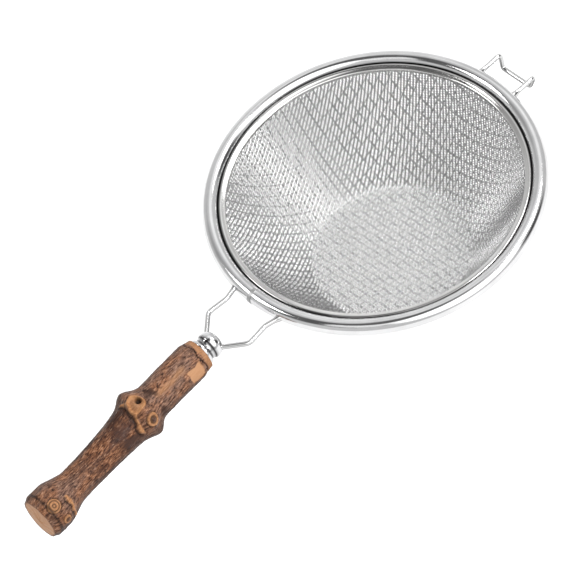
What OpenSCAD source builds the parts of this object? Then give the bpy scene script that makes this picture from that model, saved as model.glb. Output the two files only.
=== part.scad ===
// Long-handled tea strainer: double woven basket in a rolled steel rim,
// a wire cup rest opposite the handle, and a bamboo-root handle on two wire legs.
// Millimetres. Origin at the centre of the flat basket floor, underside.
// +Z is up along the basket axis, the cup rest is at +X and the handle runs to -X.

/* [Rim] */
// Outside diameter of the rolled rim
rim_d = 84; // [80:0.5:90]
// Diameter of the rolled bead
bead_d = 4; // [3.6:0.1:4.4]
// Thickness of the sheet that the bead is rolled from
sheet_t = 0.45; // [0.4:0.05:0.5]
// Height of the rim's middle above the table
rim_z = 26.5; // [25:0.5:32]
// Radius of the opening inside the clamp band
mouth_r = 36.2; // [36:0.1:36.4]
// Width of the joint sleeve along the rim
sleeve_w = 1.05; // [0.8:0.05:2]
// Sideways distance of the joint sleeve from the basket's middle line
sleeve_y = 0.7; // [0:0.1:4]

/* [Basket] */
// Radius of the flat floor
floor_r = 19.3; // [16:0.1:22]
// Inside radius of the rounded corner between floor and wall
corner_r = 1.8; // [1.5:0.1:6]
// Slope of the wall where it leaves the corner, in degrees
wall_lean = 50; // [44:1:56]
// Thickness of the fine inner weave
fine_t = 0.3; // [0.2:0.05:0.4]
// Thickness of the coarse outer weave
coarse_t = 0.5; // [0.4:0.05:0.6]

/* [Wires] */
// Diameter of the cup rest and leg wires
wire_d = 1.25; // [1:0.05:1.4]
// Sideways offset of the cup rest, the legs and the handle from the basket's middle line
side_shift = 1.1; // [0:0.1:2]
// Half the distance between the cup rest's two legs
rest_y = 5.7; // [5:0.1:7]
// Reach of the cup rest beyond the rim
rest_reach = 7.1; // [6:0.1:8]
// Drop of the cup rest's cross wire below its legs
rest_drop = 3.6; // [3:0.1:5]
// Half the distance between the handle legs at their widest bend
leg_y = 7.1; // [6.8:0.1:7.6]

/* [Ferrule] */
// Distance from the basket axis to the face between collar and wood
ferrule_x = 59.9; // [59.6:0.1:62]
// Diameter of the collar
collar_d = 7.2; // [6.8:0.1:7.6]
// Diameter of the rounded cap
cap_d = 6.7; // [6.4:0.1:7]

/* [Handle] */
// Length of the bamboo root
root_len = 54.5; // [48:0.5:70]
// Diameter of the root at the ferrule
root_d = 8; // [7.6:0.1:9]
// Thickness that the root gains just behind the ferrule, as radius
shoulder_rise = 0.65; // [0:0.05:1]
// Swelling of the middle node, added to the radius
node_rise = 1.2; // [0.6:0.1:2]
// Flare of the butt, added to the radius
butt_rise = 1.65; // [1:0.05:2.2]
// Drop of the butt below the rim's middle
root_drop = 4.5; // [0:0.5:8]
// Sideways lean of the butt
root_lean = 1.2; // [0:0.1:3]
// Depth of the drilled hole for the tang
bore_depth = 20; // [15:1:30]
// Diameter of the drilled hole for the tang
bore_d = 3.4; // [3.2:0.1:4]

/* [Hidden] */

$fn = 96;
bead_r = bead_d / 2;
core_r = bead_r - sheet_t;
ring_r = rim_d / 2 - bead_r;
wire_r = wire_d / 2;

// Slot on the inner side of the bead where both weaves enter
slot_top = 0;
slot_low = -fine_t - coarse_t;
seam_z = rim_z - fine_t;

// Basket profile, drawn on the face between the two weaves
neck_bend = 1.2;
corner_start = [floor_r, coarse_t];
corner_end = corner_start + corner_r * [sin(wall_lean), 1 - cos(wall_lean)];
mouth = [mouth_r + fine_t, seam_z - 0.85];
chord = mouth - corner_end;
wall_top_lean = 2 * atan2(chord[1], chord[0]) - wall_lean;
wall_r = norm(chord) / (2 * sin((wall_top_lean - wall_lean) / 2));
mesh_edge_r = ring_r - core_r - 0.05;

function corner_at(a) = corner_start + corner_r * [sin(a), 1 - cos(a)];
function wall_at(a) = corner_end + wall_r * [sin(a) - sin(wall_lean), cos(wall_lean) - cos(a)];
function neck_at(a) = mouth + neck_bend * [sin(wall_top_lean) - sin(a), cos(a) - cos(wall_top_lean)];
// One point of the profile, moved out by d; a is the slope of the surface there
function moved(p, a, d) = p + d * [sin(a), -cos(a)];
function profile(d) = concat(
    [[0, coarse_t - d]],
    [for (i = [0:8]) let (a = wall_lean * i / 8) moved(corner_at(a), a, d)],
    [for (i = [1:10]) let (a = wall_lean + (wall_top_lean - wall_lean) * i / 10) moved(wall_at(a), a, d)],
    [for (i = [5:-1:0]) let (a = wall_top_lean * i / 6) moved(neck_at(a), a, d)],
    [[mesh_edge_r, neck_at(0)[1] - d]]);
function unit(v) = v / norm(v);
// The part of v that is square to the unit vector w, at unit length
function square_to(v, w) = unit(v - w * (v * w));
function reversed(list) = [for (i = [len(list) - 1:-1:0]) list[i]];

// Corner points of the wires, in the plane of the rim; x is the distance from the basket axis
bend_steps = 7;
wire_sides = 16;
leg_in_y = 0.75;
leg_points = [[ring_r - 0.5, leg_y + 0.7, 0], [44.6, leg_y - 0.6, 0], [50.4, leg_y, 0],
              [57, 1.1, 0], [58.1, leg_in_y, 0], [ferrule_x + bore_depth - 2, leg_in_y, 0]];
leg_bends = [2.2, 2.2, 1.3, 1.3];
rest_x = rim_d / 2 + rest_reach - wire_r;
rest_low = [rest_x - 0.9, rest_y - 1.1, -rest_drop];
rest_points = [[ring_r, rest_y, 0], [rest_x, rest_y, 0], rest_low, [rest_low[0], -rest_low[1], rest_low[2]],
               [rest_x, -rest_y, 0], [ring_r, -rest_y, 0]];
rest_bends = [0.9, 0.9, 0.9, 0.9];

// Root handle: u runs from 0 at the ferrule to 1 at the butt, and the angle a is 0 at -Y
// and 90 on top. Each knot is [u, angle, width along, width around in degrees, height].
rings = 52;
sides = 36;
node_u = 0.376;
knots = [[0.39, 79, 0.05, 30, 0.9], [0.38, 30, 0.035, 20, 0.7], [0.345, 325, 0.03, 18, 1],
         [0.385, 150, 0.045, 26, 0.8], [0.375, 235, 0.04, 26, 0.7], [0.945, 57, 0.035, 22, 0.5],
         [0.93, 12, 0.03, 16, 0.5], [0.93, 97, 0.03, 16, 0.4], [0.92, 200, 0.04, 26, 0.6],
         [0.94, 290, 0.035, 22, 0.5]];
function bump(x, middle, width) = exp(-pow((x - middle) / width, 2));
function ease(x, from, to) = let (t = max(0, min(1, (x - from) / (to - from)))) t * t * (3 - 2 * t);
function turn_gap(a, b) = abs((a - b + 540) % 360 - 180);
function root_axis(u) = [-ferrule_x - root_len * u, -side_shift - root_lean * u + 0.3 * sin(360 * u),
                         rim_z - root_drop * pow(u, 1.2)];
function knot_rise(u, a, i = 0) = i == len(knots) ? 0 :
    knots[i][4] * bump(u, knots[i][0], knots[i][2]) * bump(turn_gap(a, knots[i][1]), 0, knots[i][3])
    + knot_rise(u, a, i + 1);
function root_radius(u, a) = root_d / 2 + shoulder_rise * ease(u, 0, 0.06)
    - 0.5 * ease(u, 0.45, 0.72) + node_rise * bump(u, node_u, 0.045) + 0.3 * bump(u, 0.43, 0.07)
    + butt_rise * ease(u, 0.79, 0.92) - 0.6 * ease(u, 0.975, 1)
    + 0.1 * cos(3 * a + 300 * u) + 0.08 * cos(2 * a - 200 * u) + knot_rise(u, a);
function root_point(u, a) = root_axis(u) + root_radius(u, a) * [0, -cos(a), sin(a)];
root_rings = [for (i = [0:rings]) [for (j = [0:sides - 1]) root_point(i / rings, 360 * j / sides)]];

module ring(profile_z = 0) {
    translate([0, 0, profile_z]) rotate_extrude($fn = 180) children();
}

module bead_solid(r) {
    ring(rim_z) translate([ring_r, 0]) circle(r);
}

// Closed tube through a list of rings, each a list of points that turn the same way
module tube(rings) {
    last = len(rings) - 1;
    n = len(rings[0]);
    polyhedron(
        points = [for (r = rings) each r],
        faces = concat(
            [[for (j = [0:n - 1]) j]],
            [[for (j = [n - 1:-1:0]) last * n + j]],
            [for (i = [0:last - 1]) for (j = [0:n - 1]) let (k = (j + 1) % n)
                [i * n + j, (i + 1) * n + j, (i + 1) * n + k, i * n + k]]));
}

// Arc of radius r that rounds the corner q on the way from p to s
function bend_arc(p, q, s, r) =
    let (u = unit(q - p), w = unit(s - q), turn = acos(u * w), inward = unit(w - u * (u * w)),
         centre = q - u * r * tan(turn / 2) + inward * r)
    [for (i = [0:bend_steps]) centre + r * (sin(turn * i / bend_steps) * u - cos(turn * i / bend_steps) * inward)];

// Wire through a list of corner points, with a rounded bend at each inner corner
module wire(points, bends) {
    corners = len(points) - 1;
    path = concat([points[0]],
                  [for (i = [1:corners - 1]) each bend_arc(points[i - 1], points[i], points[i + 1], bends[i - 1])],
                  [points[corners]]);
    last = len(path) - 1;
    along = [for (i = [0:last]) unit(path[min(i + 1, last)] - path[max(i - 1, 0)])];
    across = [for (i = 0, a = unit(cross(along[0], [0, 0, 1])); i <= last;
                   a = square_to(a, along[min(i + 1, last)]), i = i + 1) a];
    tube([for (i = [0:last]) [for (j = [0:wire_sides - 1]) let (a = 360 * j / wire_sides)
        path[i] + wire_r * (cos(a) * across[i] + sin(a) * cross(along[i], across[i]))]]);
}

module leg_wire(side) {
    difference() {
        translate([0, -side_shift, rim_z]) mirror([1, 0, 0])
            wire([for (p = leg_points) [p[0], side * p[1], p[2]]], leg_bends);
        bead_solid(bead_r);
    }
}

// A straight round hole for each leg, from corner i to corner i + 1 of its path
module leg_holes(i, clearance, past) {
    from = leg_points[i];
    span = leg_points[i + 1] - from;
    for (side = [-1, 1])
        translate([-from[0], side * from[1] - side_shift, rim_z])
            rotate([0, 0, atan2(side * span[1], -span[0])]) rotate([0, 90, 0])
                cylinder(h = norm(span) + past, r = wire_r + clearance);
}

// Solid of revolution about the handle's X axis; points are [distance from the wood, radius]
module turned(points) {
    translate([-ferrule_x, -side_shift, rim_z]) rotate([0, 90, 0]) rotate_extrude()
        polygon([for (p = points) [p[1], p[0]]]);
}

module rim_shell() {
    color("silver") difference() {
        bead_solid(bead_r);
        bead_solid(core_r);
        ring(rim_z) translate([mouth_r, slot_low]) square([ring_r - mouth_r - core_r + 0.25, slot_top - slot_low]);
    }
}

module rim_core_wire() {
    color("gray") bead_solid(core_r);
}

module mesh_clamp_band() {
    lip = 0.4;
    crown = [for (i = [0:4]) let (a = 90 + 22.5 * i) [mouth_r + 0.35 + 0.35 * cos(a), 0.15 + 0.35 * sin(a)]];
    color("gainsboro") difference() {
        ring(rim_z) polygon(concat([[ring_r - 1.2, 0.55], [ring_r - 1.95, 0.55], [ring_r - 2.1, 0.8],
            [ring_r - 2.35, 0.97], [ring_r - 2.65, 0.98], [ring_r - 2.95, 0.86]], crown,
            [[mouth_r, -lip], [mouth_r + 0.4, -lip], [mouth_r + 0.45, 0], [ring_r - 2.3, 0.2], [ring_r - 1.2, 0.2]]));
        bead_solid(bead_r);
    }
}

module rim_joint_sleeve() {
    sleeve_t = 0.12;
    turn = 360 * sleeve_w / (PI * rim_d);
    middle = 180 - asin(2 * sleeve_y / rim_d);
    color("silver") translate([0, 0, rim_z]) rotate([0, 0, middle - turn / 2])
        rotate_extrude(angle = turn, $fn = 180) intersection() {
            translate([ring_r, 0]) difference() {
                circle(bead_r + sleeve_t);
                circle(bead_r);
            }
            translate([ring_r - 0.9, -bead_d]) square([2 * bead_d, 2 * bead_d]);
        }
}

module fine_mesh() {
    color("darkgray") ring() polygon(concat(profile(-fine_t), reversed(profile(0))));
}

module coarse_mesh() {
    color("dimgray") ring() polygon(concat(profile(0), reversed(profile(coarse_t))));
}

module rest_hook_wire() {
    color("silver") difference() {
        translate([0, -side_shift, rim_z]) wire(rest_points, rest_bends);
        bead_solid(bead_r);
    }
}

module handle_wire_left() {
    color("silver") leg_wire(1);
}

module handle_wire_right() {
    color("silver") leg_wire(-1);
}

module ferrule_collar() {
    color("gainsboro") difference() {
        turned([[0, 0], [0, collar_d / 2 - 0.2], [0.15, collar_d / 2 - 0.05], [0.4, collar_d / 2],
                [0.75, collar_d / 2 - 0.05], [1, collar_d / 2 - 0.25], [1.1, 3.05], [1.5, 2.85], [2, 2.9],
                [2.4, 3.1], [2.4, 0]]);
        turned([[-1, 0], [-1, bore_d / 2], [3, bore_d / 2], [3, 0]]);
    }
}

module ferrule_cap() {
    nose = 2.2;
    dome = [for (i = [1:6]) let (a = 15 * i)
            [3.2 + nose * sin(a), 1.75 + (cap_d / 2 - 1.75) * cos(a)]];
    color("gainsboro") difference() {
        turned(concat([[2.4, 0], [2.4, 3.1], [2.75, cap_d / 2 - 0.05], [3.2, cap_d / 2]], dome, [[3.2 + nose, 0]]));
        turned([[2, 0], [2, bore_d / 2], [3.4, bore_d / 2], [3.4, 0]]);
        leg_holes(2, 0.05, 0.6);
    }
}

module root_handle() {
    color("saddlebrown") difference() {
        tube(root_rings);
        turned([[-bore_depth, 0], [-bore_depth, bore_d / 2], [1, bore_d / 2], [1, 0]]);
    }
}

module tang_adhesive() {
    color("wheat") difference() {
        turned([[-bore_depth, 0], [-bore_depth, bore_d / 2], [1, bore_d / 2], [1, 0]]);
        leg_holes(4, 0, 0);
    }
}

rim_shell();
rim_core_wire();
mesh_clamp_band();
rim_joint_sleeve();
fine_mesh();
coarse_mesh();
rest_hook_wire();
handle_wire_left();
handle_wire_right();
ferrule_collar();
ferrule_cap();
root_handle();
tang_adhesive();
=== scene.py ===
"""Double-mesh tea strainer with a bamboo-root handle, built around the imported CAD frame.
Lengths in this file are millimetres, and every mesh is scaled to metres when it is made."""

import math

import bpy
import numpy as np
from mathutils import Matrix, Vector, noise


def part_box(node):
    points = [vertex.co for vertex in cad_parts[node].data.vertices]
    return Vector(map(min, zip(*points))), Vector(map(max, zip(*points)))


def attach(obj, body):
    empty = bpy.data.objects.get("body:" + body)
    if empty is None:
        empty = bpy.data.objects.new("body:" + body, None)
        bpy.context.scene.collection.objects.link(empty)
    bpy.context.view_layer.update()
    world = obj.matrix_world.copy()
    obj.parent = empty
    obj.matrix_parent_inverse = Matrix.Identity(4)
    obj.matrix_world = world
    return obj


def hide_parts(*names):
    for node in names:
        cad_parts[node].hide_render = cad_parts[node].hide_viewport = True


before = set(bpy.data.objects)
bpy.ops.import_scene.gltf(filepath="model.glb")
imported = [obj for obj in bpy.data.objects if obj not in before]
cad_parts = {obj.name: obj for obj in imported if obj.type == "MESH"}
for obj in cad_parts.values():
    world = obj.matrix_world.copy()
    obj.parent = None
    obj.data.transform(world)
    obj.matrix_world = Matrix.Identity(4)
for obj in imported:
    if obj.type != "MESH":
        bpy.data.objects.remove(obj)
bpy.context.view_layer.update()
MM = 0.001


def node_box(name):
    """Lowest and highest corner of a CAD node, in millimetres."""
    low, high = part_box(name)
    return np.array(low) / MM, np.array(high) / MM


# Rim
rim_low, rim_high = node_box("rim_shell")
RIM_R = round(rim_high[0], 1)
BEAD_R = round((rim_high[2] - rim_low[2]) / 2, 2)
RIM_Z = round((rim_high[2] + rim_low[2]) / 2, 2)
RING_R = RIM_R - BEAD_R
SHEET_T = 0.45
MOUTH_R = 36.2

# Basket: the profile is drawn on the face between the two weaves
FLOOR_R = 19.3
CORNER_R = 1.8
WALL_LEAN = math.radians(50)
NECK_BEND = 1.2
FINE_T, COARSE_T = 0.3, 0.5
WEAVE_EDGE_R = 38.35

# Weaves: step of the lattice that the wires follow; then, for warp and weft, the wire diameters, the
# spacing in steps and the direction in plan. Middle is the weave's height over the face above.
FINE_STEP, COARSE_STEP = 0.28, 0.46
FINE_WIRES, COARSE_WIRES = (0.4, 0.2), (0.32, 0.32)
FINE_EVERY, COARSE_EVERY = (4, 2), (4, 4)
FINE_ANGLES = math.radians(27.4), math.radians(88.5)
COARSE_ANGLES = math.radians(-9), math.radians(-87)
FINE_MIDDLE, COARSE_MIDDLE = 0.3, -0.12
FINE_DRAW, COARSE_DRAW = 0.75, 0.0
LAYER_SLACK, CRIMP = 1.1, 0.15
WEAVE_SIDES = 6

# Wires
WIRE_R = 0.625
SIDE_SHIFT = 1.1
LEG_CORNERS = [(-39.5, 7.8), (-44.6, 6.5), (-50.4, 7.1), (-57.0, 1.1), (-58.1, 0.75), (-66, 0.75)]
LEG_BENDS = [2.2, 2.2, 1.3, 1.3]
REST_Y, REST_REACH, REST_DROP = 5.7, 7.1, 3.6

# Ferrule and handle: distances run back from the face between collar and wood
FERRULE_X = 59.9
ROOT_LEN = 54.5
ROOT_R = 4.0
ROOT_DROP, ROOT_LEAN = 4.5, 1.2

SEED = Vector((3.7, 1.9, 8.3))


# ---------------------------------------------------------------- mesh helpers


def make_object(name, verts, faces, material, replaced=(), smooth_angle=60):
    """A mesh object from points in millimetres and an array of four-cornered faces (or a list of any)."""
    mesh = bpy.data.meshes.new(name)
    verts = np.asarray(verts, np.float32) * MM
    if isinstance(faces, np.ndarray):
        mesh.vertices.add(len(verts))
        mesh.vertices.foreach_set("co", verts.ravel())
        mesh.loops.add(faces.size)
        mesh.loops.foreach_set("vertex_index", faces.ravel().astype(np.int32))
        mesh.polygons.add(len(faces))
        mesh.polygons.foreach_set("loop_start", np.arange(0, faces.size, 4, dtype=np.int32))
    else:
        mesh.from_pydata([tuple(v) for v in verts], [], faces)
    mesh.update(calc_edges=True)
    mesh.polygons.foreach_set("use_smooth", np.ones(len(mesh.polygons), bool))
    if smooth_angle:
        mesh.set_sharp_from_angle(angle=math.radians(smooth_angle))
    mesh.materials.append(material)
    piece = bpy.data.objects.new(name, mesh)
    bpy.context.scene.collection.objects.link(piece)
    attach(piece, "root")
    if replaced:
        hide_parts(*replaced)
    return piece


def set_attribute(piece, name, values):
    """Stores one number per vertex for the material to read."""
    attribute = piece.data.attributes.new(name, "FLOAT", "POINT")
    attribute.data.foreach_set("value", np.asarray(values, np.float32).ravel())


def set_grain(piece, vectors):
    """Stores the surface coordinates, in millimetres, that the material's brushed grain follows."""
    attribute = piece.data.attributes.new("grain", "FLOAT_VECTOR", "POINT")
    attribute.data.foreach_set("vector", np.asarray(vectors, np.float32).ravel())


def grid_faces(rows, columns, closed_rows=False):
    """Quads over a grid of points, rows by columns, numbered row by row; the columns always close."""
    i = np.arange(rows if closed_rows else rows - 1)
    i, j = np.meshgrid(i, np.arange(columns), indexing="ij")
    up, over = (i + 1) % rows, (j + 1) % columns
    corners = [i * columns + j, i * columns + over, up * columns + over, up * columns + j]
    return np.stack(corners, -1).reshape(-1, 4)


def unit(v):
    return v / np.linalg.norm(v, axis=-1, keepdims=True)


def fbm(points, size, octaves=3, offset=0.0):
    """Layered noise at points in millimetres; size is the width of its largest lumps."""
    shift = SEED + Vector((offset, -offset, 2 * offset))
    total = np.zeros(len(points))
    for k in range(octaves):
        scale = 2**k / size
        values = [noise.noise(Vector(p) * scale + shift) for p in points.tolist()]
        total += np.array(values) / 2**k
    return total


def circle_profile(centre, radius, start, end, count):
    """Points on an arc of the (radius, height) plane; angles are in degrees from straight outward."""
    a = np.radians(np.linspace(start, end, count))
    return np.stack([centre[0] + radius * np.cos(a), centre[1] + radius * np.sin(a)], -1)


def ring_of(profile, segments, ripple=None):
    """Turns a closed profile of (radius, height) points about the Z axis. Returns points, faces, grain."""
    profile = np.asarray(profile, float)
    a = np.linspace(0, 2 * math.pi, segments, endpoint=False)
    radius = np.broadcast_to(profile[None, :, 0], (segments, len(profile))).copy()
    height = np.broadcast_to(profile[None, :, 1], (segments, len(profile))).copy()
    if ripple is not None:
        swing = ripple(a)
        radius += swing[:, None]
        height += 0.6 * np.roll(swing, segments // 5)[:, None]
    points = np.stack([radius * np.cos(a)[:, None], radius * np.sin(a)[:, None], height], -1)
    along = np.broadcast_to((a * RING_R)[:, None], radius.shape)
    steps = np.linalg.norm(np.diff(profile, axis=0), axis=1)
    across = np.broadcast_to(np.concatenate([[0], np.cumsum(steps)])[None, :], radius.shape)
    grain = np.stack([along, across, np.zeros_like(across)], -1)
    return points.reshape(-1, 3), grid_faces(segments, len(profile), closed_rows=True), grain.reshape(-1, 3)


def sweep(path, radii, sides=24):
    """Tube along a path, closed by a flat face at each end. Returns points, faces, grain."""
    path = np.asarray(path, float)
    radii = np.broadcast_to(radii, len(path))
    tangent = unit(np.gradient(path, axis=0))
    across = unit(np.cross(tangent[0], (0, 0, 1)))
    frames = []
    for t in tangent:
        across = unit(across - t * (across @ t))
        frames.append((across, np.cross(t, across)))
    a = np.linspace(0, 2 * math.pi, sides, endpoint=False)
    ring = np.array([np.outer(np.cos(a), f[0]) + np.outer(np.sin(a), f[1]) for f in frames])
    points = path[:, None] + ring * radii[:, None, None]
    length = np.concatenate([[0], np.cumsum(np.linalg.norm(np.diff(path, axis=0), axis=1))])
    along = np.broadcast_to(length[:, None], points.shape[:2])
    around = np.broadcast_to(a[None, :] * radii.max(), points.shape[:2])
    grain = np.stack([along, around, np.zeros_like(around)], -1)
    last = (len(path) - 1) * sides
    faces = grid_faces(len(path), sides).tolist()
    faces.append(list(range(sides - 1, -1, -1)))
    faces.append([last + j for j in range(sides)])
    return points.reshape(-1, 3), faces, grain.reshape(-1, 3)


def rounded_path(corners, bends, spacing=0.25):
    """Points along straight runs between corners, with each inner corner rounded to its bend radius."""
    corners = [np.array(c, float) for c in corners]
    points = [corners[0]]
    for p, q, s, r in zip(corners, corners[1:], corners[2:], bends):
        u, w = unit(q - p), unit(s - q)
        turn = math.acos(np.clip(u @ w, -1, 1))
        inward = unit(w - u * (u @ w))
        centre = q - u * r * math.tan(turn / 2) + inward * r
        for a in np.linspace(0, turn, 12):
            points.append(centre + r * (math.sin(a) * u - math.cos(a) * inward))
    points.append(corners[-1])
    points = np.array(points)
    length = np.concatenate([[0], np.cumsum(np.linalg.norm(np.diff(points, axis=0), axis=1))])
    at = np.linspace(0, length[-1], int(length[-1] / spacing) + 2)
    return np.stack([np.interp(at, length, points[:, k]) for k in range(3)], -1)


# ---------------------------------------------------------------- materials

# Near black of the painted shade in the rim's crease, around the ferrule and under the wires, and the
# share of its brightness that clouded steel keeps
PAINTED_SHADE_COLOR = (0.012, 0.011, 0.012)
CLOUDED = 0.824


def new_material(name, color, metallic, roughness):
    material = bpy.data.materials.new(name)
    material.use_nodes = True
    shader = material.node_tree.nodes["Principled BSDF"]
    shader.inputs["Base Color"].default_value = (*color, 1)
    shader.inputs["Metallic"].default_value = metallic
    shader.inputs["Roughness"].default_value = roughness
    return material, material.node_tree, shader


def add(tree, kind, links=None, values=None, **properties):
    """Adds a shader node; links and values are given by socket name or number."""
    node = tree.nodes.new("ShaderNode" + kind)
    for key, value in properties.items():
        setattr(node, key, value)
    for key, value in (values or {}).items():
        node.inputs[key].default_value = value
    for key, source in (links or {}).items():
        tree.links.new(source, node.inputs[key])
    return node


def attribute(tree, name, output="Fac"):
    return add(tree, "Attribute", attribute_name=name).outputs[output]


def noise_of(tree, vector, scale, detail=3.0, rough=0.55, stretch=None):
    """Noise over a vector, which is first scaled along its own axes if stretch is given."""
    if stretch is not None:
        vector = add(tree, "Mapping", {"Vector": vector}, {"Scale": stretch}).outputs["Vector"]
    node = add(tree, "TexNoise", {"Vector": vector}, {"Scale": scale, "Detail": detail, "Roughness": rough})
    return node.outputs["Fac"]


def spread(tree, value, low, high, to_low, to_high):
    """Maps value from low..high to to_low..to_high and keeps it there."""
    values = {"From Min": low, "From Max": high, "To Min": to_low, "To Max": to_high}
    return add(tree, "MapRange", {"Value": value}, values).outputs["Result"]


def mix(tree, factor, a, b, blend="MIX"):
    """Mixes two colours; each is a colour tuple or a socket."""
    node = add(tree, "Mix", data_type="RGBA", blend_type=blend)
    for socket, value in ((node.inputs[0], factor), (node.inputs[6], a), (node.inputs[7], b)):
        if isinstance(value, bpy.types.NodeSocket):
            tree.links.new(value, socket)
        else:
            socket.default_value = value if isinstance(value, float) else (*value, 1)
    return node.outputs[2]


def bump(tree, shader, height, strength, distance):
    values = {"Strength": strength, "Distance": distance * MM}
    node = add(tree, "Bump", {"Height": height}, values)
    tree.links.new(node.outputs["Normal"], shader.inputs["Normal"])


def steel(name, color, roughness, brushed=0.25):
    """Polished stainless steel: faint brush lines along the grain, slight clouding and painted shade."""
    material, tree, shader = new_material(name, color, 1.0, roughness)
    grain = attribute(tree, "grain", "Vector")
    lines = noise_of(tree, grain, 1.0, 2.0, stretch=(0.25, 9, 1))
    place = add(tree, "TexCoord").outputs["Object"]
    cloud = noise_of(tree, place, 90, 3.0)
    dull = tuple(c * CLOUDED for c in color)
    clean = mix(tree, spread(tree, cloud, 0.35, 0.7, 0, 1), color, dull)
    # Painted shade: the colour goes to near black where the piece's painted shade value is high
    shaded = mix(tree, attribute(tree, "painted_shade"), clean, PAINTED_SHADE_COLOR)
    tree.links.new(shaded, shader.inputs["Base Color"])
    rough = add(tree, "Math", {0: lines, 1: cloud}, operation="MULTIPLY").outputs[0]
    rough = spread(tree, rough, 0.12, 0.42, roughness * 0.6, roughness * 1.6)
    tree.links.new(rough, shader.inputs["Roughness"])
    bump(tree, shader, lines, brushed, 0.02)
    return material


def weave_steel():
    """Drawn stainless wire of the two weaves, with its finish the same all along."""
    material, tree, shader = new_material("mesh_wire", (0.49, 0.49, 0.49), 1.0, 0.25)
    place = add(tree, "TexCoord").outputs["Object"]
    bump(tree, shader, noise_of(tree, place, 2500, 2.0), 0.15, 0.02)
    return material


def bark_material():
    """Bamboo root: speckled bark over tan wood, which shows where the surface was cut or rubbed."""
    material, tree, shader = new_material("bamboo_root", (0.16, 0.1, 0.07), 0.0, 0.55)
    shader.inputs["Specular IOR Level"].default_value = 0.12
    along = attribute(tree, "grain", "Vector")
    fibre = noise_of(tree, along, 1.0, 5.0, 0.65, stretch=(0.55, 2.6, 1))
    fine = noise_of(tree, along, 1.0, 4.0, 0.7, stretch=(0.75, 2.3, 1))
    patches = noise_of(tree, along, 1.0, 4.0, 0.6, stretch=(0.16, 0.28, 1))
    grey = mix(tree, spread(tree, fibre, 0.38, 0.6, 0, 1), (0.07, 0.036, 0.024), (0.31, 0.2, 0.145))
    brown = mix(tree, spread(tree, fibre, 0.38, 0.62, 0, 1), (0.02, 0.007, 0.004), (0.13, 0.056, 0.03))
    rust = mix(tree, spread(tree, fine, 0.42, 0.6, 0, 1), (0.09, 0.036, 0.018), (0.46, 0.235, 0.12))
    bark = mix(tree, attribute(tree, "brown"), grey, brown)
    bark = mix(tree, spread(tree, patches, 0.44, 0.58, 0, 0.8), bark, rust)
    bark = mix(tree, spread(tree, fine, 0.57, 0.65, 0, 0.8), bark, (0.5, 0.34, 0.23))
    bark = mix(tree, spread(tree, fine, 0.45, 0.36, 0, 0.9), bark, (0.01, 0.005, 0.003))
    # This mask holds dark scorched bark below the node and painted shade on the sides of the root
    bark = mix(tree, attribute(tree, "scorch_and_shade"), bark, (0.03, 0.013, 0.008))
    wood = mix(tree, spread(tree, fibre, 0.35, 0.65, 0, 1), (0.4, 0.2, 0.085), (0.64, 0.38, 0.18))
    wood = mix(tree, spread(tree, fine, 0.52, 0.64, 0, 0.6), wood, (0.2, 0.09, 0.035))
    bark = mix(tree, attribute(tree, "smooth"), bark, (0.075, 0.042, 0.032))
    color = mix(tree, attribute(tree, "wood"), bark, wood)
    whittled = mix(tree, fibre, (0.46, 0.26, 0.125), (0.66, 0.42, 0.24))
    color = mix(tree, attribute(tree, "cut"), color, whittled)
    # The dark mask holds painted shade in the root's grooves, hollows and crack, and the dark ring and edge
    # at the butt
    color = mix(tree, attribute(tree, "dark"), color, (0.01, 0.005, 0.003))
    color = mix(tree, 1.0, color, (0.6, 0.52, 0.5), "MULTIPLY")
    tree.links.new(color, shader.inputs["Base Color"])
    rough = spread(tree, fine, 0.3, 0.7, 0.62, 0.4)
    rough = mix(tree, attribute(tree, "smooth"), rough, (0.3, 0.3, 0.3))
    tree.links.new(rough, shader.inputs["Roughness"])
    bump(tree, shader, mix(tree, 0.5, fine, fibre), 0.7, 0.16)
    return material


def plain_material(name, color, metallic, roughness, size):
    """A quiet surface with slight grain, for pieces that hardly show."""
    material, tree, shader = new_material(name, color, metallic, roughness)
    place = add(tree, "TexCoord").outputs["Object"]
    cloud = noise_of(tree, place, 1000 / size, 3.0)
    dark = tuple(c * 0.7 for c in color)
    tree.links.new(mix(tree, spread(tree, cloud, 0.3, 0.7, 0, 1), color, dark), shader.inputs["Base Color"])
    bump(tree, shader, cloud, 0.3, 0.05)
    return material


# ---------------------------------------------------------------- basket weaves


def basket_profile():
    """Radius, height and slope of the face between the weaves, from the centre out into the rim's slot."""
    corner_end = np.array([FLOOR_R + CORNER_R * math.sin(WALL_LEAN),
                           COARSE_T + CORNER_R * (1 - math.cos(WALL_LEAN))])
    mouth = np.array([MOUTH_R + FINE_T, RIM_Z - FINE_T - 0.85])
    chord = mouth - corner_end
    top_lean = 2 * math.atan2(chord[1], chord[0]) - WALL_LEAN
    wall_r = np.linalg.norm(chord) / (2 * math.sin((top_lean - WALL_LEAN) / 2))
    corner = np.linspace(0, WALL_LEAN, 60)
    wall = np.linspace(WALL_LEAN, top_lean, 120)[1:]
    neck = np.linspace(top_lean, 0, 40)[1:]
    radius = [np.linspace(0, FLOOR_R, 20)[:-1], FLOOR_R + CORNER_R * np.sin(corner),
              corner_end[0] + wall_r * (np.sin(wall) - math.sin(WALL_LEAN)),
              mouth[0] + NECK_BEND * (math.sin(top_lean) - np.sin(neck)), [RIM_R * 2]]
    height = [np.full(19, COARSE_T), COARSE_T + CORNER_R * (1 - np.cos(corner)),
              corner_end[1] + wall_r * (math.cos(WALL_LEAN) - np.cos(wall)),
              mouth[1] + NECK_BEND * (np.cos(neck) - math.cos(top_lean)), [RIM_Z - FINE_T]]
    slope = [np.zeros(19), np.tan(corner), np.tan(wall), np.tan(neck), [0.0]]
    return np.concatenate(radius), np.concatenate(height), np.concatenate(slope)


PROFILE = basket_profile()


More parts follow.
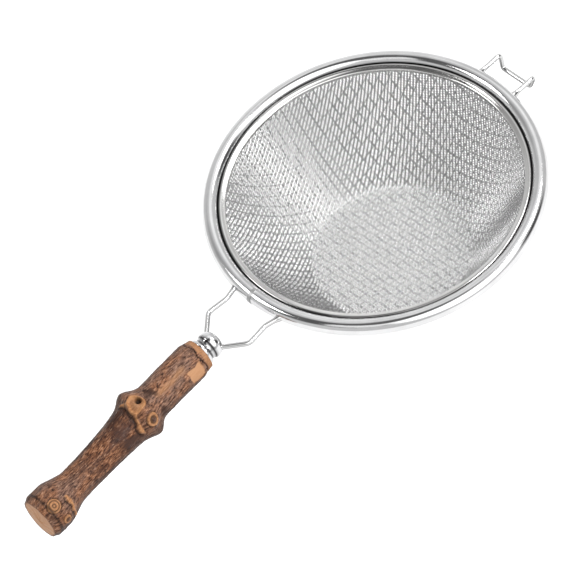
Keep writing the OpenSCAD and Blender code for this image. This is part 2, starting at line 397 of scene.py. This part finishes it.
def on_basket(xy):
    """Height and gradient of the basket at plan points."""
    r = np.maximum(np.linalg.norm(xy, axis=-1), 1e-6)
    z = np.interp(r, PROFILE[0], PROFILE[1])
    slope = np.interp(r, PROFILE[0], PROFILE[2])
    return z, xy * (slope / r)[..., None]


def drawn_net(step, angles, draw):
    """Lattice of a mesh laid over the basket, as points and unit normals on the basket. Its two families
    run at the plan angles given. With draw at 1 the mesh keeps its length down the wall, and at 0 its
    wires stay straight as seen from above."""
    count = int(62 / step)
    reach = np.linspace(0, 45, 4000)
    z = np.interp(reach, PROFILE[0], PROFILE[1])
    arc = np.concatenate([[0], np.cumsum(np.hypot(np.diff(reach), np.diff(z)))])
    index = np.arange(-count, count + 1) * step
    along = [np.array([math.cos(a), math.sin(a)]) for a in angles]
    flat = index[:, None, None] * along[0] + index[None, :, None] * along[1]
    far = np.maximum(np.linalg.norm(flat, axis=-1, keepdims=True), 1e-9)
    xy = flat / far * np.interp(far, draw * arc + (1 - draw) * reach, reach)
    z, grad = on_basket(xy)
    points = np.concatenate([xy, z[..., None]], -1)
    normals = unit(np.concatenate([-grad, np.ones_like(z)[..., None]], -1))
    return points, normals


def weave_wires(net, family, every, lift, crimp):
    """Wires of one family over the net, as a list of (path, normals).
    The value every gives both families' spacing in steps."""
    points, normals = (array if family == 0 else array.swapaxes(0, 1) for array in net)
    centre = len(points) // 2
    spacing, crossing = every[family], every[1 - family]
    wires = []
    for line in range(centre % spacing, points.shape[1], spacing):
        path, normal = points[:, line], normals[:, line]
        inside = np.flatnonzero(np.linalg.norm(path[:, :2], axis=1) <= WEAVE_EDGE_R)
        if len(inside) < 2 * spacing:
            continue
        rows = np.arange(inside[0], inside[-1] + 1)
        sign = (-1) ** ((line - centre) // spacing + family)
        wave = np.cos(math.pi * (rows - centre) / crossing) * sign * crimp
        wires.append((path[rows] + normal[rows] * (lift + wave)[:, None], normal[rows]))
    return wires


def weave_piece(name, wires, wire_d, material, replaced=()):
    """One mesh of the given wires."""
    sides = WEAVE_SIDES
    a = np.linspace(0, 2 * math.pi, sides, endpoint=False) + math.pi / sides
    all_points, all_faces, start = [], [], 0
    for path, normal in wires:
        tangent = unit(np.gradient(path, axis=0))
        up = unit(normal - tangent * (normal * tangent).sum(-1, keepdims=True))
        side = np.cross(tangent, up)
        ring = np.cos(a)[None, :, None] * side[:, None] + np.sin(a)[None, :, None] * up[:, None]
        all_points.append((path[:, None] + ring * wire_d / 2).reshape(-1, 3))
        all_faces.append(grid_faces(len(path), sides) + start)
        start += len(path) * sides
    points, faces = np.concatenate(all_points), np.concatenate(all_faces)
    return make_object(name, points, faces, material, replaced, smooth_angle=0)


def build_weave(kind, net, every, middle, wire_ds, parts, material):
    """The two families of one weave, the warp laid over the weft and not truly woven through it.
    Each is in a few pieces, so that none passes the library's limit of triangles."""
    for family, name in enumerate(("warp", "weft")):
        layer = wire_ds[1 - family] * (0.45 - family) * LAYER_SLACK
        wires = weave_wires(net, family, every, middle + layer, CRIMP * wire_ds[1 - family])
        for k in range(parts[family]):
            share = wires[k * len(wires) // parts[family]:(k + 1) * len(wires) // parts[family]]
            replaced = (f"{kind}_mesh",) if (family, k) == (0, 0) else ()
            weave_piece(f"{kind}_weave_{name}_{k + 1}", share, wire_ds[family], material, replaced)


def build_weaves(material):
    fine = drawn_net(FINE_STEP, FINE_ANGLES, FINE_DRAW)
    coarse = drawn_net(COARSE_STEP, COARSE_ANGLES, COARSE_DRAW)
    build_weave("fine", fine, FINE_EVERY, FINE_MIDDLE, FINE_WIRES, (2, 4), material)
    build_weave("coarse", coarse, COARSE_EVERY, COARSE_MIDDLE, COARSE_WIRES, (1, 1), material)


# ---------------------------------------------------------------- rim

# The dark line between bead and band is painted shade and dark reflection, and this is half its width
CREASE_SHADE_W = 0.7


def ripple(amount):
    """A few slow waves around a ring, so that its reflections are not perfectly even."""
    return lambda a: amount * (np.sin(3 * a + 1) + 0.6 * np.sin(7 * a + 2.2) + 0.4 * np.sin(17 * a))


def set_crease_shade(piece):
    """The dark line between the bead and the band, painted shade and dark reflection, as a value per vertex
    for the material.
    """
    points = np.empty(len(piece.data.vertices) * 3, np.float32)
    piece.data.vertices.foreach_get("co", points)
    x, y, z = points.reshape(-1, 3).T / MM
    depth = np.hypot(np.hypot(x, y) - (RING_R - 2.0), z - (RIM_Z + 0.4))
    set_attribute(piece, "painted_shade", np.exp(-((depth / CREASE_SHADE_W) ** 4)))


def build_rim(polished, band_metal):
    slot_low = -FINE_T - COARSE_T
    low_angle = 180 + math.degrees(math.asin(-slot_low / BEAD_R))
    centre = (RING_R, RIM_Z)
    outer = circle_profile(centre, BEAD_R, low_angle - 360, 180, 72)
    inner = circle_profile(centre, BEAD_R - SHEET_T, 178, low_angle - 356, 40)
    points, faces, grain = ring_of(np.concatenate([outer, inner]), 480, ripple(0.012))
    piece = make_object("rolled_rim", points, faces, polished, ("rim_shell",))
    set_grain(piece, grain)
    set_crease_shade(piece)

    crown = circle_profile((MOUTH_R + 0.4, RIM_Z + 0.15), 0.4, 95, 180, 12)
    skirt = [(MOUTH_R, RIM_Z - 0.4), (MOUTH_R + 0.4, RIM_Z - 0.4), (MOUTH_R + 0.45, RIM_Z)]
    flank = [(RING_R - 2.3, RIM_Z + 0.2), (RING_R - 1.75, RIM_Z + 0.2)]
    top = [(RING_R - 1.75, RIM_Z + 0.55), (RING_R - 1.95, RIM_Z + 0.55), (RING_R - 2.1, RIM_Z + 0.8),
           (RING_R - 2.35, RIM_Z + 0.97), (RING_R - 2.65, RIM_Z + 0.98), (RING_R - 2.95, RIM_Z + 0.86)]
    points, faces, grain = ring_of(np.concatenate([top, crown, skirt, flank]), 480, ripple(0.012))
    piece = make_object("clamp_band", points, faces, band_metal, ("mesh_clamp_band",), 40)
    set_grain(piece, grain)
    set_crease_shade(piece)


# ---------------------------------------------------------------- wires


def weld_swell(path, at_start=True, at_end=False):
    """Radius along a wire: a small weld fillet where it meets the rim."""
    length = np.concatenate([[0], np.cumsum(np.linalg.norm(np.diff(path, axis=0), axis=1))])
    radii = np.full(len(path), WIRE_R)
    if at_start:
        radii += 0.35 * np.exp(-((length / 2.1) ** 4))
    if at_end:
        radii += 0.35 * np.exp(-(((length[-1] - length) / 2.1) ** 4))
    return radii


def set_underside_shade(piece):
    """Painted shade darkens the underside of a wire, as the value that the material reads."""
    normals = np.empty(len(piece.data.vertices) * 3, np.float32)
    piece.data.vertices.foreach_get("normal", normals)
    set_attribute(piece, "painted_shade", 0.9 * (1 - ease(normals[2::3], -0.35, 0.2)))


def build_wires(material):
    for side, name in ((1, "handle_wire_left"), (-1, "handle_wire_right")):
        corners = [(x, side * y - SIDE_SHIFT, RIM_Z) for x, y in LEG_CORNERS]
        path = rounded_path(corners, LEG_BENDS)
        points, faces, grain = sweep(path, weld_swell(path))
        piece = make_object(name.replace("handle", "leg"), points, faces, material, (name,))
        set_grain(piece, grain)
        set_underside_shade(piece)
    out = RIM_R + REST_REACH - WIRE_R
    low, inner = RIM_Z - REST_DROP, REST_Y - 1.1
    corners = [(RING_R, REST_Y, RIM_Z), (out, REST_Y, RIM_Z), (out - 0.9, inner, low),
               (out - 0.9, -inner, low), (out, -REST_Y, RIM_Z), (RING_R, -REST_Y, RIM_Z)]
    corners = [(x, y - SIDE_SHIFT, z) for x, y, z in corners]
    path = rounded_path(corners, [0.9] * 4)
    points, faces, grain = sweep(path, weld_swell(path, at_end=True))
    piece = make_object("cup_rest", points, faces, material, ("rest_hook_wire",))
    set_grain(piece, grain)
    set_underside_shade(piece)


# ---------------------------------------------------------------- ferrule


def turned(profile):
    """Turns a closed profile of (distance from the wood, radius) points about the handle's axis."""
    points, faces, grain = ring_of([(r, s) for s, r in profile], 96)
    x, y, z = points.T
    return np.stack([z - FERRULE_X, x - SIDE_SHIFT, y + RIM_Z], -1), faces[:, ::-1], grain


def set_seam_shade(piece, places, width):
    """Dark bands around the ferrule at distances from the wood, as a value per vertex: painted shade in the
    collar's waist, and at the joint of collar and cap a dark seam with painted shade.
    """
    points = np.empty(len(piece.data.vertices) * 3, np.float32)
    piece.data.vertices.foreach_get("co", points)
    along = points[::3] / MM + FERRULE_X
    set_attribute(piece, "painted_shade", sum(np.exp(-(((along - at) / width) ** 2)) for at in places))


def build_ferrule(material):
    collar = [(0, 1.5), (0, 3.4), (0.12, 3.55), (0.4, 3.6), (0.75, 3.56), (0.98, 3.4), (1.08, 3.1),
              (1.25, 2.92), (1.5, 2.85), (1.8, 2.87), (2.1, 2.98), (2.4, 3.1), (2.4, 1.5)]
    points, faces, grain = turned(collar)
    piece = make_object("collar", points, faces, material, ("ferrule_collar",), 50)
    set_grain(piece, grain)
    set_seam_shade(piece, (1.35, 2.4), 0.32)
    dome = [(3.2 + 2.2 * math.sin(a), 1.75 + 1.6 * math.cos(a))
            for a in np.radians(np.linspace(0, 90, 14))]
    cap = [(2.4, 0.05), (2.4, 3.1), (2.5, 3.18), (2.75, 3.3)] + dome + [(5.42, 1.0), (5.42, 0.05)]
    points, faces, grain = turned(cap)
    piece = make_object("cap", points, faces, material, ("ferrule_cap",), 50)
    set_grain(piece, grain)
    set_seam_shade(piece, (2.4,), 0.35)


# ---------------------------------------------------------------- root handle

ROWS, SIDES = 380, 240
BARK_MASKS = ("brown", "wood", "cut", "smooth", "dark", "scorch_and_shade")


def hump(x, middle, width):
    return np.exp(-(((x - middle) / width) ** 2))


def ease(x, start, end):
    t = np.clip((x - start) / (end - start), 0, 1)
    return t * t * (3 - 2 * t)


def turn_gap(a, b):
    return (a - b + 180) % 360 - 180


# Knots: place along the root, angle, length, width in degrees, height in millimetres
KNOTS = [(0.39, 79, 0.05, 30, 0.9), (0.38, 30, 0.035, 20, 0.7), (0.345, 325, 0.03, 18, 1.0),
         (0.385, 150, 0.045, 26, 0.8), (0.375, 235, 0.04, 26, 0.7), (0.945, 57, 0.035, 22, 0.5),
         (0.93, 12, 0.03, 16, 0.5), (0.93, 97, 0.03, 16, 0.4), (0.92, 200, 0.04, 26, 0.6),
         (0.94, 290, 0.035, 22, 0.5)]


def root_radius(u, a):
    """Radius of the root without its fine relief; u is 0 at the ferrule and a is in degrees."""
    turn = np.radians(a)
    r = ROOT_R + 0.65 * ease(u, 0, 0.06) - 0.5 * ease(u, 0.45, 0.72)
    r = r + 1.2 * hump(u, 0.376, 0.045) + 0.3 * hump(u, 0.43, 0.07)
    r = r + 1.65 * ease(u, 0.79, 0.92) - 0.6 * ease(u, 0.975, 1)
    r = r + 0.1 * np.cos(3 * turn + np.radians(300 * u)) + 0.08 * np.cos(2 * turn - np.radians(200 * u))
    for at, angle, long, wide, height in KNOTS:
        r = r + height * hump(u, at, long) * hump(turn_gap(a, angle), 0, wide)
    return r


def root_axis(u):
    wobble = 0.3 * np.sin(2 * math.pi * u)
    return np.stack([-FERRULE_X - ROOT_LEN * u, -SIDE_SHIFT - ROOT_LEAN * u + wobble,
                     RIM_Z - ROOT_DROP * u**1.2], -1)


class Relief:
    """Fine relief of the root and the masks its material reads, on the grid of the bark."""

    def __init__(self):
        u = np.linspace(0, 1, ROWS)
        a = np.linspace(0, 360, SIDES, endpoint=False)
        self.u, self.a = np.meshgrid(u, a, indexing="ij")
        self.base = root_radius(self.u, self.a)
        turn = np.radians(self.a)
        self.out = np.stack([np.zeros_like(turn), -np.cos(turn), np.sin(turn)], -1)
        self.around = np.stack([self.u * ROOT_LEN, 4.5 * np.cos(turn), 4.5 * np.sin(turn)], -1)
        self.height = np.zeros_like(self.u)
        self.masks = {name: np.zeros_like(self.u) for name in BARK_MASKS}

    def noise(self, size, stretch=1.0, octaves=3, offset=0.0):
        points = (self.around * (1 / stretch, 1, 1)).reshape(-1, 3)
        return fbm(points, size, octaves, offset).reshape(self.u.shape)

    def local(self, at, angle):
        """Distances in millimetres from a spot: towards the butt, and up around the root."""
        return (self.u - at) * ROOT_LEN, np.radians(turn_gap(self.a, angle)) * self.base

    def paint(self, name, value):
        self.masks[name] = np.maximum(self.masks[name], np.clip(value, 0, 1))

    def clear(self, value, *names):
        for name in names:
            self.masks[name] = self.masks[name] * (1 - np.clip(value, 0, 1))


def carve_bark(root):
    fibre = root.noise(1.1, 4.0, 3)
    root.height += 0.09 * fibre + 0.05 * root.noise(0.45, 1.5, 2, 5.0)
    edge = 0.43 + 0.03 * root.noise(5, offset=2)
    root.paint("brown", ease(root.u, edge - 0.01, edge + 0.01) * (1 - 0.75 * ease(root.u, 0.62, 0.86)))
    root.paint("smooth", 0.75 * hump(root.u, 0.5, 0.055) * ease(root.noise(2.6, 1.5, offset=9), -0.25, 0.2))
    root.paint("scorch_and_shade", 0.9 * hump(root.u, 0.49, 0.07) * ease(root.noise(4, 2.0, offset=31), -0.35, 0.25))
    root.paint("scorch_and_shade", 0.85 * hump(root.u, 0.3, 0.035) * ease(root.noise(2.5, offset=37), -0.2, 0.2))
    # Painted shade: the bark darkens on the sides of the root that turn away from the angle of 62 degrees
    root.paint("scorch_and_shade", 0.75 * ease(np.abs(turn_gap(root.a, 62)), 48, 85))
    streak = hump(turn_gap(root.a, 60) + 8 * root.noise(3, 3.0, offset=41), 0, 8)
    root.paint("wood", 0.55 * streak * ease(root.u, 0.1, 0.14) * (1 - ease(root.u, 0.26, 0.31)))


def carve_ring(root, wave, at, width, height, start, end):
    """A raised scar running around the root between two angles, with a groove below it darkened by painted
    shade.
    """
    middle = at + wave
    along = (root.u - middle) * ROOT_LEN
    span = (turn_gap(root.a, (start + end) / 2) + 180) / 360
    half = (end - start) / 720
    gate = ease(np.abs(span - 0.5), half, half * 0.8)
    crest = hump(along, 0, width) * gate
    root.height += height * crest - 0.16 * hump(along, 1.7 * width, 0.5 * width) * gate
    root.paint("wood", 1.15 * crest - 0.1)
    # Painted shade in the groove below the scar
    root.paint("dark", 0.85 * hump(along, 1.9 * width, 0.45 * width) * gate)


def carve_cup_knot(root, at, angle, size):
    """A sawn-off shoot: a raised lip around a shallow cup, with a hollow at one side."""
    x, y = root.local(at, angle)
    far = np.hypot(x, y) / size * (1 + 0.08 * np.sin(3 * np.arctan2(y, x)))
    cup = 1 - ease(far, 0.6, 0.95)
    root.height += 0.42 * hump(far, 0.95, 0.16) - 0.45 * cup - 0.25 * hump(far, 1.32, 0.12)
    hollow = 1 - ease(np.hypot(x + 0.5 * size, y - 0.1 * size) / size, 0.22, 0.5)
    root.height -= 1.0 * hollow
    root.clear(1 - ease(far, 1.1, 1.3), "brown", "smooth")
    root.paint("wood", 0.9 * (1 - ease(far, 0.98, 1.12)) - 0.35 * (1 - ease(far, 0.55, 0.8)))
    # Painted shade in the hollow and in the groove around the lip
    root.paint("dark", 0.95 * hollow)
    root.paint("dark", 0.55 * hump(far, 1.28, 0.1) * ease(x, -0.4 * size, 0.6 * size))


def carve_button_knot(root, at, angle, size, rings, lip=0.3, core_grey=True):
    """A small round scar: concentric raised rings, with a button in the middle."""
    x, y = root.local(at, angle)
    far = np.hypot(x, y) / size
    inside = 1 - ease(far, 1.0, 1.12)
    wave = 0.5 + 0.5 * np.cos(2 * math.pi * rings * far)
    root.height += inside * (0.15 + lip * wave) - 0.25 * hump(far, 1.15, 0.1)
    root.clear(inside, "brown", "smooth")
    root.paint("wood", inside * (0.45 + 0.55 * wave) * (ease(far, 0.3, 0.45) if core_grey else 1))
    # Painted shade in the troughs between the rings and in the groove around the scar
    root.paint("dark", 0.75 * inside * (1 - wave) ** 3 + 0.6 * hump(far, 1.15, 0.08))
    if core_grey:
        root.paint("smooth", 0.8 * (1 - ease(far, 0.35, 0.5)))


def carve_ends(root):
    """The rubbed wood next to the ferrule with its crack, the whittled flat, and the cut butt's edge."""
    ring_edge = 0.022 + 0.012 * root.noise(3, offset=4)
    root.paint("wood", 0.6 * (1 - ease(root.u, ring_edge, ring_edge + 0.008)))
    crack = 0.034 + 0.014 * root.noise(2.2, offset=14)
    line = hump((root.u - crack) * ROOT_LEN, 0, 0.16) * ease(turn_gap(root.a, 70) * -1, -75, -60)
    root.height -= 0.3 * line
    # Painted shade in the crack
    root.paint("dark", line)
    x, y = root.local(0.085, 18)
    ragged = 0.35 * root.noise(1.3, offset=21)
    flat = (1 - ease(np.abs(x) + ragged, 1.9, 2.2)) * (1 - ease(np.abs(y) + ragged, 1.7, 2.0))
    root.height -= flat * (0.25 + root.height)
    root.clear(flat, "brown", "smooth", "dark")
    root.paint("cut", flat)
    # Painted shade along one edge of the whittled flat
    root.paint("dark", 0.4 * hump(y + ragged, 2.0, 0.12) * (1 - ease(np.abs(x), 1.9, 2.2)))
    root.paint("dark", 0.8 * hump(root.u, 0.968, 0.008))


def build_root(material):
    root = Relief()
    carve_bark(root)
    wave = 0.012 * np.sin(np.radians(3 * root.a)) + 0.01 * root.noise(3, offset=7)
    carve_ring(root, wave, 0.43, 0.34, 0.4, 5, 125)
    carve_ring(root, 0.012 * root.noise(2, offset=17), 0.88, 0.3, 0.3, -20, 60)
    carve_cup_knot(root, 0.389, 79, 2.2)
    carve_button_knot(root, 0.375, 30, 1.5, 1.0)
    carve_button_knot(root, 0.945, 57, 1.6, 2.0, 0.2, core_grey=False)
    carve_button_knot(root, 0.93, 12, 1.0, 1.0, 0.15)
    carve_ends(root)
    points = root_axis(root.u) + root.out * (root.base + root.height)[..., None]
    grain = np.stack([root.u * ROOT_LEN, np.radians(root.a) * 4.5, np.zeros_like(root.u)], -1)
    rows, masks, grains = [points], {k: [m] for k, m in root.masks.items()}, [grain]
    for end in (0, ROWS - 1):
        edge, middle = points[end], root_axis(np.array([float(end > 0)]))[0]
        shares = np.linspace(0, 1, 14)[1:-1] ** 0.8
        for share in shares:
            bulge = 0.35 * math.sin(share * math.pi / 2) * (-1 if end else 0)
            ring = edge + (middle + (bulge, 0, 0) - edge) * share
            ring = ring + np.outer(0.05 * np.sin(9 * np.radians(root.a[0]) + 6 * share), (1, 0, 0))
            rows.append(ring[None]) if end else rows.insert(0, ring[None])
            spot = np.stack([np.full(SIDES, share * 6), ring[:, 1], ring[:, 2]], -1)[None]
            grains.append(spot) if end else grains.insert(0, spot)
            for name in masks:
                value = float(name == "cut") if end else float(name == "wood")
                layer = np.full((1, SIDES), value)
                if name == "dark" and end:
                    layer += 0.7 * (1 - ease(share, 0.02, 0.12))
                masks[name].append(layer) if end else masks[name].insert(0, layer)
    points = np.concatenate(rows)
    count = len(points)
    tips = [points[0].mean(0), points[-1].mean(0)]
    faces = grid_faces(count, SIDES)[:, ::-1].tolist()
    flat = points.reshape(-1, 3)
    first, last = len(flat), len(flat) + 1
    faces += [[first, j, (j + 1) % SIDES] for j in range(SIDES)]
    rim = (count - 1) * SIDES
    faces += [[last, rim + (j + 1) % SIDES, rim + j] for j in range(SIDES)]
    points = np.vstack([flat, tips])
    piece = make_object("bamboo_handle", points, faces, material, ("root_handle",), 0)
    set_grain(piece, np.vstack([np.concatenate(grains).reshape(-1, 3), np.zeros((2, 3))]))
    for name, layers in masks.items():
        values = np.concatenate(layers).ravel()
        set_attribute(piece, name, np.concatenate([values, values[[0, -1]]]))


# ---------------------------------------------------------------- studio


# Direction of the far side in plan, and what the studio holds: azimuth and elevation in degrees,
# inner and outer radius in degrees, brightness
FAR_SIDE = math.radians(59.2)
STUDIO_LEVEL = 0.8
STUDIO_PATCHES = [(62, 45, 10, 30, 0.4), (120, 70, 22, 32, 0.15), (92, 52, 18, 28, 0.12),
                  (-92, 22, 10, 18, 0.08), (-142, 50, 26, 34, 2.4), (0, 14, 16, 24, 1.1),
                  (-20, 78, 6, 12, 0.12), (-25, 50, 8, 20, 1.3)]


def build_floor():
    mesh = bpy.data.meshes.new("floor")
    half = 3.0
    corners = [(-half, -half, 0), (half, -half, 0), (half, half, 0), (-half, half, 0)]
    mesh.from_pydata(corners, [], [(0, 1, 2, 3)])
    floor = bpy.data.objects.new("floor", mesh)
    bpy.context.scene.collection.objects.link(floor)
    material, _, shader = new_material("floor", (0.3, 0.3, 0.3), 0.0, 0.9)
    shader.inputs["Specular IOR Level"].default_value = 0
    shader.inputs["Emission Color"].default_value = (1, 1, 1, 1)
    shader.inputs["Emission Strength"].default_value = 0.85
    mesh.materials.append(material)


def direction_of(azimuth, elevation):
    """Unit vector; the azimuth is counterclockwise from FAR_SIDE, and both are in degrees."""
    turn, rise = math.radians(azimuth) + FAR_SIDE, math.radians(elevation)
    return math.cos(turn) * math.cos(rise), math.sin(turn) * math.cos(rise), math.sin(rise)


def build_world():
    """A pale studio with soft boxes and dark openings to reflect. Looked at straight, it is plain white."""
    world = bpy.data.worlds.new("studio")
    bpy.context.scene.world = world
    world.use_nodes = True
    tree = world.node_tree
    background = tree.nodes["Background"]
    direction = add(tree, "TexCoord").outputs["Generated"]
    level = (STUDIO_LEVEL,) * 3
    for azimuth, elevation, inner, outer, value in STUDIO_PATCHES:
        middle = {1: direction_of(azimuth, elevation)}
        towards = add(tree, "VectorMath", {0: direction}, middle, operation="DOT_PRODUCT")
        edges = math.cos(math.radians(outer)), math.cos(math.radians(inner))
        level = mix(tree, spread(tree, towards.outputs["Value"], *edges, 0, 1), level, (value,) * 3)
    seen = add(tree, "LightPath").outputs["Is Camera Ray"]
    tree.links.new(mix(tree, seen, level, (1.0, 1.0, 1.0)), background.inputs["Color"])
    background.inputs["Strength"].default_value = 1.0


def facing(azimuth, elevation):
    """Unit vector; the azimuth is counterclockwise from -Y in plan, and both are in radians."""
    flat = math.cos(elevation)
    return Vector((math.sin(azimuth) * flat, -math.cos(azimuth) * flat, math.sin(elevation)))


def add_light(name, toward, distance, size, power):
    """A soft box in the direction given as (azimuth, elevation), aimed at the frame's origin."""
    back = facing(*(math.radians(v) for v in toward))
    data = bpy.data.lights.new(name, "AREA")
    data.shape, data.size, data.size_y, data.energy = "RECTANGLE", size[0], size[1], power
    light = bpy.data.objects.new(name, data)
    light.rotation_euler = back.to_track_quat("Z", "Y").to_euler()
    light.location = back * distance
    bpy.context.scene.collection.objects.link(light)


def build_camera():
    azimuth, elevation, roll = math.radians(-30.76), math.radians(52.80), math.radians(-16.98)
    distance, aim, lens = 1.0, Vector((-0.03347, -0.00413, 0.02661)), 264.7
    back = facing(azimuth, elevation)
    right = Vector((math.cos(azimuth), math.sin(azimuth), 0))
    up = back.cross(right)
    across = right * math.cos(roll) + up * math.sin(roll)
    upward = up * math.cos(roll) - right * math.sin(roll)
    data = bpy.data.cameras.new("camera")
    data.lens, data.sensor_width, data.clip_start, data.clip_end = lens, 36.0, 0.05, 20
    camera = bpy.data.objects.new("camera", data)
    pose = Matrix((across, upward, back)).transposed().to_4x4()
    pose.translation = aim + back * distance
    camera.matrix_world = pose
    bpy.context.scene.collection.objects.link(camera)
    bpy.context.scene.camera = camera


def dress_cad_nodes():
    """The CAD nodes that stay get their own finish."""
    core = plain_material("core_steel", (0.42, 0.42, 0.42), 1.0, 0.45, 2.0)
    glue = plain_material("adhesive", (0.7, 0.6, 0.42), 0.0, 0.6, 1.0)
    for name, material in (("rim_core_wire", core), ("tang_adhesive", glue), ("rim_joint_sleeve", core)):
        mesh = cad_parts[name].data
        mesh.materials.clear()
        mesh.materials.append(material)


build_camera()
build_world()
build_floor()
add_light("key", (-70, 60), 1.2, (0.5, 0.5), 0.8)
add_light("back", (-135, 45), 1.2, (0.4, 0.4), 5)
add_light("side", (85, 56), 1.2, (0.35, 0.35), 4.5)
add_light("front", (27, 48), 1.2, (0.3, 0.3), 11)

polished_steel = steel("polished_steel", (0.68, 0.68, 0.685), 0.12)
band_steel = steel("band_steel", (0.66, 0.657, 0.65), 0.15)
bright_wire = steel("bright_wire", (0.62, 0.62, 0.62), 0.1, 0.04)
chrome = steel("ferrule_plate", (0.72, 0.72, 0.73), 0.05, 0.05)

build_weaves(weave_steel())
build_rim(polished_steel, band_steel)
build_wires(bright_wire)
build_ferrule(chrome)
build_root(bark_material())
dress_cad_nodes()

bpy.context.scene.view_settings.view_transform = "Standard"
